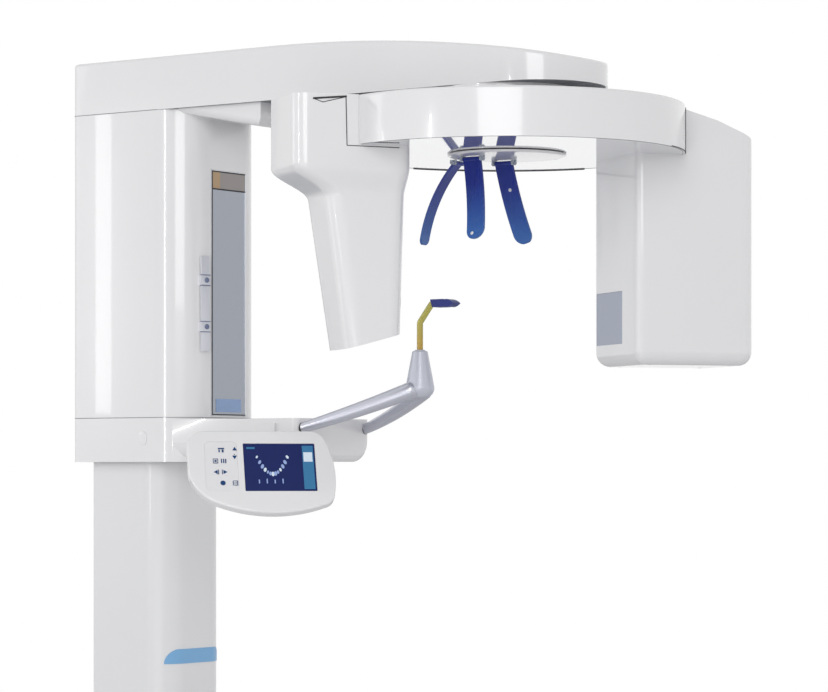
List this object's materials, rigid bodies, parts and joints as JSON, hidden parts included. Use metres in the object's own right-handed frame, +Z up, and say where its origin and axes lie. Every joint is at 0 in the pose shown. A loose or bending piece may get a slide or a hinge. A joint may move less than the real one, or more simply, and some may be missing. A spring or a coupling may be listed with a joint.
{
  "type": "dental ct scanner",
  "caption": "Floor standing dental x-ray unit: column, lifting carriage with arm, turning tube and sensor heads, head supports, chin shelf with handles and a tilting control panel.",
  "frame": {"origin": "on the floor, at the middle of the four bolts under the column", "axes": "+Z up; +X from the column towards the patient, along the arm; the arm lies over the XZ plane and the control panel is on the -Y side"},
  "size_m": [1.3372, 0.8334, 1.95],
  "materials": {
    "shell_white": "smooth gloss moulding",
    "gloss_underside": "polished gloss",
    "column_white": "satin powder coat",
    "accent_blue": "satin inlay",
    "frame_grey": "matt grey paint",
    "bright_steel": "ground steel",
    "motor_black": "black paint",
    "wheel_alloy": "machined alloy",
    "belt_rubber": "matt rubber",
    "mirror_face": "silvered glass",
    "support_blue": "clear blue gloss",
    "window_tint": "smooth tinted cover",
    "grip_silver": "satin silver paint",
    "rest_grey": "fine matt moulding",
    "rod_amber": "clear amber gloss",
    "bite_navy": "soft satin rubber",
    "tank_grey": "matt grey paint",
    "screen_face": "smooth display glass",
    "key_blue": "printed key film"
  },
  "bodies": {
    "base": {"floor_plate": "column_white", "column_profile": "column_white", "guide_rail_left": "bright_steel", "guide_rail_right": "bright_steel", "accent_strip": "accent_blue", "actuator_tube": "bright_steel", "lift_motor": "motor_black"},
    "lift": {"carriage_frame": "frame_grey", "slide_blocks": "bright_steel", "actuator_rod": "bright_steel", "carriage_shell": "shell_white", "carriage_back": "shell_white", "mirror_frame": "wheel_alloy", "carriage_mirror": "mirror_face", "side_rail": "bright_steel", "rail_clips": "motor_black", "shelf_shell": "shell_white", "shelf_beam": "frame_grey", "shelf_cap": "shell_white", "rest_hub": "rest_grey", "handle_left": "grip_silver", "handle_right": "grip_silver", "bite_rod": "rod_amber", "bite_tip": "bite_navy", "arm_shell": "shell_white", "arm_base_plate": "frame_grey", "arm_beam": "frame_grey", "neck_cover": "shell_white", "hub_post": "frame_grey", "gantry_motor": "motor_black", "drive_belt": "belt_rubber", "bearing_outer": "bright_steel", "support_disc": "gloss_underside", "temple_pin_left": "bright_steel", "temple_pin_right": "bright_steel", "brow_pin": "bright_steel", "panel_neck": "frame_grey"},
    "gantry": {"gantry_ring": "shell_white", "gantry_underside": "gloss_underside", "gantry_beam": "frame_grey", "bearing_inner": "bright_steel", "drive_wheel": "wheel_alloy", "tube_head_shell": "shell_white", "head_window": "window_tint", "xray_tank": "tank_grey", "sensor_shell": "shell_white", "sensor_window": "window_tint", "flat_detector": "tank_grey"},
    "pulley": {"drive_pulley": "wheel_alloy"},
    "temple_left": {"temple_support_left": "support_blue"},
    "temple_right": {"temple_support_right": "support_blue"},
    "brow": {"brow_support": "support_blue"},
    "yoke": {"panel_yoke": "frame_grey"},
    "panel": {"panel_back": "shell_white", "panel_front": "shell_white", "screen_glass": "screen_face", "key_sheet": "key_blue", "tilt_pin": "bright_steel"}
  },
  "joints": [
    {"name": "lift_slide", "type": "slide", "parent": "base", "child": "lift", "axis": [0, 0, 1], "range_m": [-0.26, 0.24]},
    {"name": "gantry_turn", "type": "hinge", "parent": "lift", "child": "gantry", "pos_m": [0.855, 0, 1.83], "axis": [0, 0, 1], "range_deg": [-15, 235]},
    {"name": "pulley_spin", "type": "hinge", "parent": "lift", "child": "pulley", "pos_m": [0.56, 0, 1.868], "axis": [0, 0, 1], "range_deg": [-50, 775]},
    {"name": "temple_left_swing", "type": "hinge", "parent": "lift", "child": "temple_left", "pos_m": [0.813, -0.054, 1.714], "axis": [-1, 0, 0], "range_deg": [-8, 8]},
    {"name": "temple_right_swing", "type": "hinge", "parent": "lift", "child": "temple_right", "pos_m": [0.813, 0.054, 1.714], "axis": [1, 0, 0], "range_deg": [-8, 8]},
    {"name": "brow_swing", "type": "hinge", "parent": "lift", "child": "brow", "pos_m": [0.744, 0, 1.714], "axis": [0, 1, 0], "range_deg": [-10, 5]},
    {"name": "panel_swivel", "type": "hinge", "parent": "lift", "child": "yoke", "pos_m": [0.38, -0.158, 1.11656], "axis": [0, 0, 1], "range_deg": [-20, 20]},
    {"name": "panel_tilt", "type": "hinge", "parent": "yoke", "child": "panel", "pos_m": [0.43958, -0.22358, 1.11656], "axis": [0.7071, 0.7071, 0], "range_deg": [-12, 15]}
  ],
  "couplings": [
    {"joint": "pulley_spin", "follows": "gantry_turn", "ratio": 3.2857}
  ]
}
